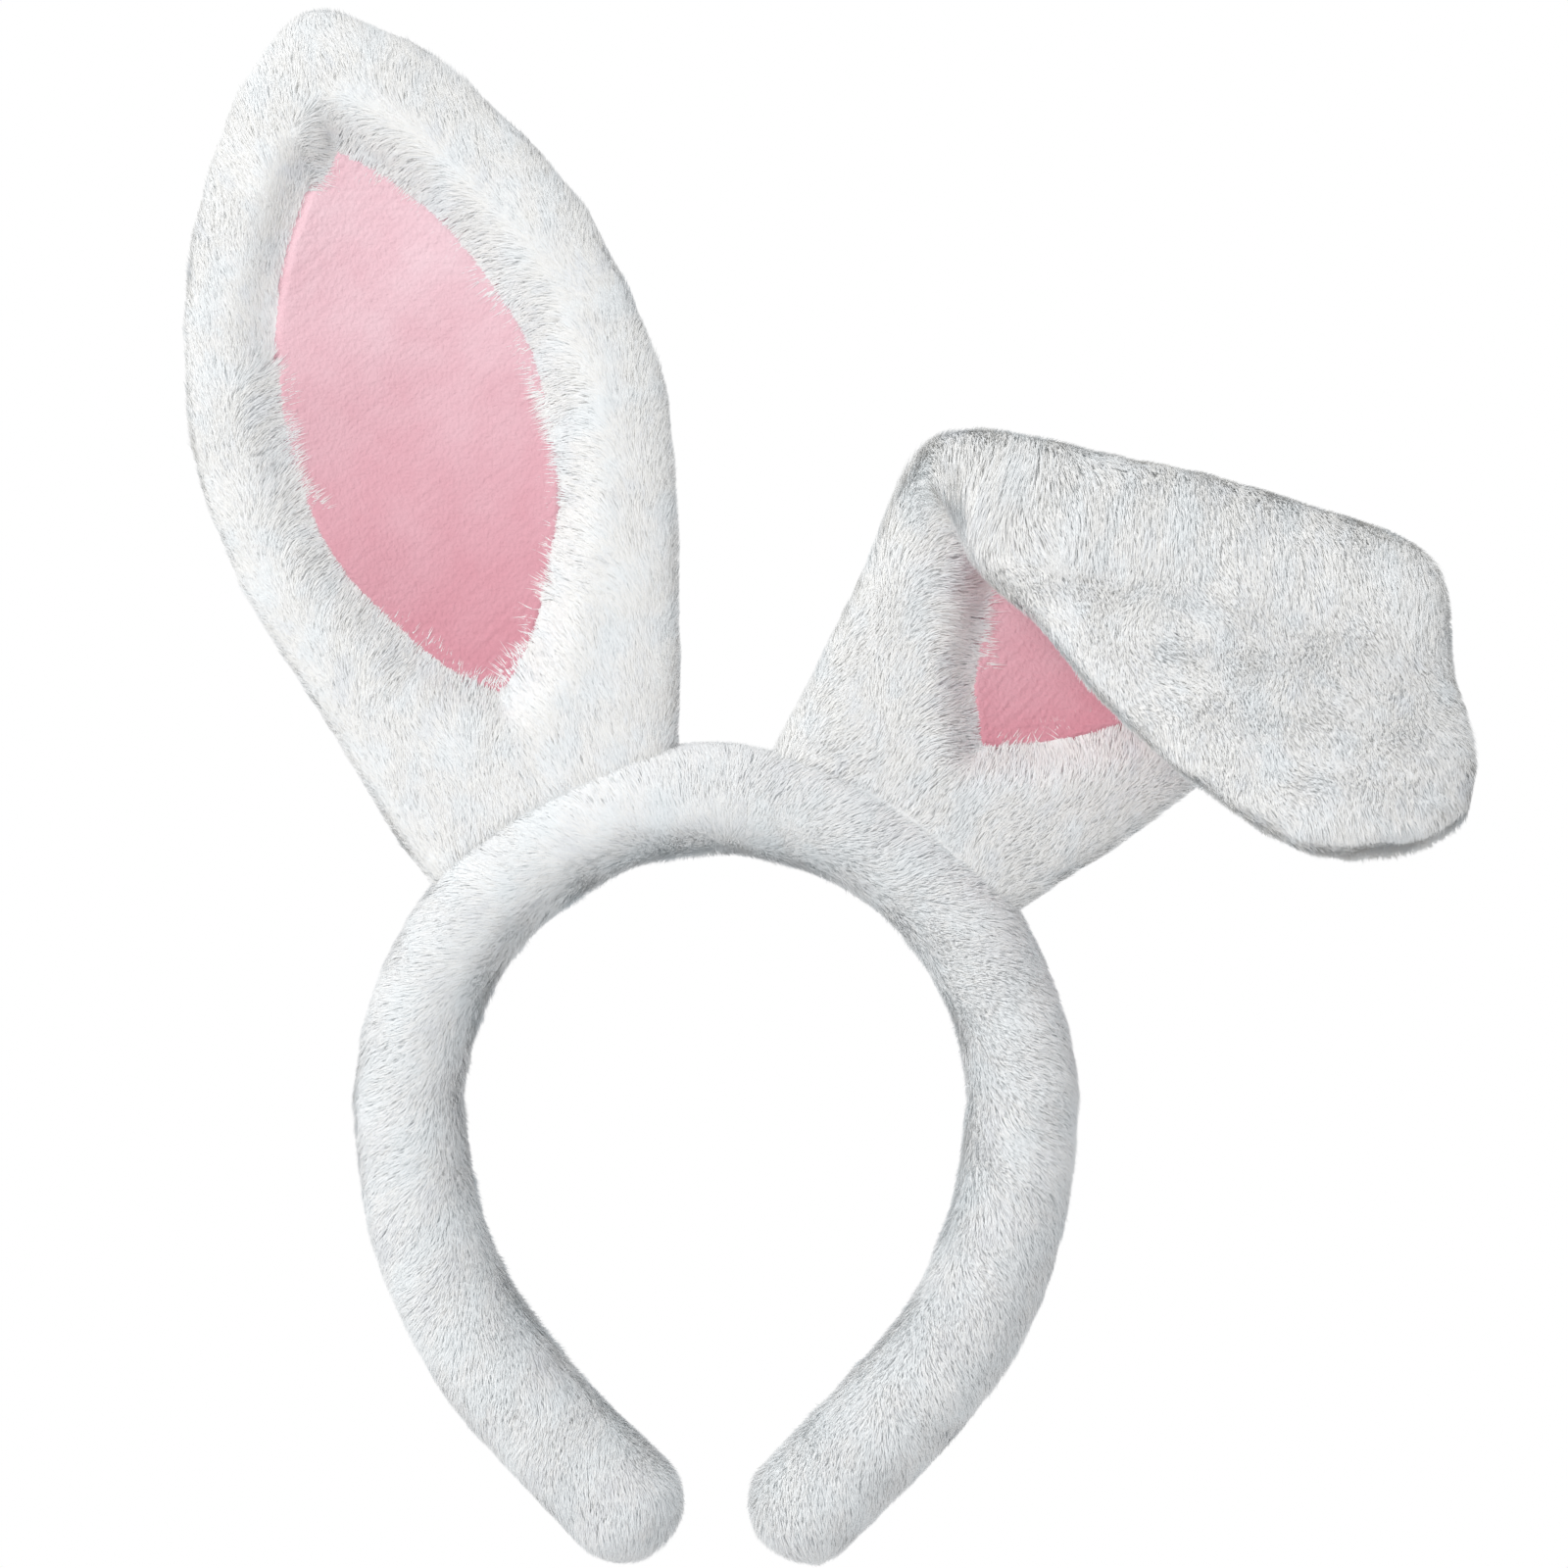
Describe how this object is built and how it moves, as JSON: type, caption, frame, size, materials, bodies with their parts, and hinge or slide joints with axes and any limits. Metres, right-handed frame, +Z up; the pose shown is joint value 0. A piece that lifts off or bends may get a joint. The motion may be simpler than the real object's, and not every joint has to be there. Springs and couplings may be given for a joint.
{
  "type": "animal ears headband",
  "caption": "Plush rabbit-ear headband: a sprung hoop in a white fur sleeve, one ear upright and one folded forwards, with pink linings; legs flex, ears tilt and fold.",
  "frame": {"origin": "middle of the hoop's inner face, where it rests on the crown of the head", "axes": "+Z up from the head towards the ears, +X to the right seen from the front, and the ear linings face -Y"},
  "size_m": [0.2928, 0.0791, 0.3528],
  "materials": {
    "fur": "short dense faux fur, white",
    "lining": "very short pink plush",
    "thread": "white sewing thread",
    "foam": "soft polyurethane foam",
    "filling": "polyester fibre filling",
    "core": "sprung plastic strip",
    "wire": "annealed steel wire"
  },
  "bodies": {
    "crown": {"crown_sleeve": "fur", "crown_foam": "foam", "crown_core": "core", "crown_seam_thread": "thread", "left_ear_wire_anchor": "wire", "right_ear_wire_anchor": "wire"},
    "left_leg": {"left_leg_sleeve": "fur", "left_leg_foam": "foam", "left_leg_core": "core", "left_leg_seam_thread": "thread"},
    "right_leg": {"right_leg_sleeve": "fur", "right_leg_foam": "foam", "right_leg_core": "core", "right_leg_seam_thread": "thread"},
    "left_ear_lower": {"left_ear_cover_lower": "fur", "left_ear_lining_lower": "lining", "left_ear_filling_lower": "filling", "left_ear_wire_lower": "wire", "left_ear_foot_thread": "thread"},
    "left_ear_upper": {"left_ear_cover_upper": "fur", "left_ear_lining_upper": "lining", "left_ear_filling_upper": "filling", "left_ear_wire_upper": "wire"},
    "right_ear_lower": {"right_ear_cover_lower": "fur", "right_ear_lining_lower": "lining", "right_ear_filling_lower": "filling", "right_ear_wire_lower": "wire", "right_ear_foot_thread": "thread"},
    "right_ear_upper": {"right_ear_cover_upper": "fur", "right_ear_lining_upper": "lining", "right_ear_filling_upper": "filling", "right_ear_wire_upper": "wire"}
  },
  "joints": [
    {"name": "left_leg_flex", "type": "hinge", "parent": "crown", "child": "left_leg", "pos_m": [-0.0711, 0, -0.01583], "axis": [0, 1, 0], "range_deg": [0, 14], "stiffness_Nm_per_rad": 0.6},
    {"name": "right_leg_flex", "type": "hinge", "parent": "crown", "child": "right_leg", "pos_m": [0.0711, 0, -0.01583], "axis": [0, -1, 0], "range_deg": [0, 14], "stiffness_Nm_per_rad": 0.6},
    {"name": "left_ear_tilt", "type": "hinge", "parent": "crown", "child": "left_ear_lower", "pos_m": [-0.04018, 0, 0.01471], "axis": [0.872, 0, 0.4894], "range_deg": [-25, 25]},
    {"name": "left_ear_fold", "type": "hinge", "parent": "left_ear_lower", "child": "left_ear_upper", "pos_m": [-0.06372, -0.0106, 0.09388], "axis": [0.9593, 0, 0.2823], "range_deg": [0, 145]},
    {"name": "right_ear_tilt", "type": "hinge", "parent": "crown", "child": "right_ear_lower", "pos_m": [0.04486, 0, 0.01188], "axis": [0.8376, 0, -0.5464], "range_deg": [-25, 25]},
    {"name": "right_ear_fold", "type": "hinge", "parent": "right_ear_lower", "child": "right_ear_upper", "pos_m": [0.09602, -0.0106, 0.06953], "axis": [0.9694, 0, -0.2453], "range_deg": [-145, 0]}
  ]
}
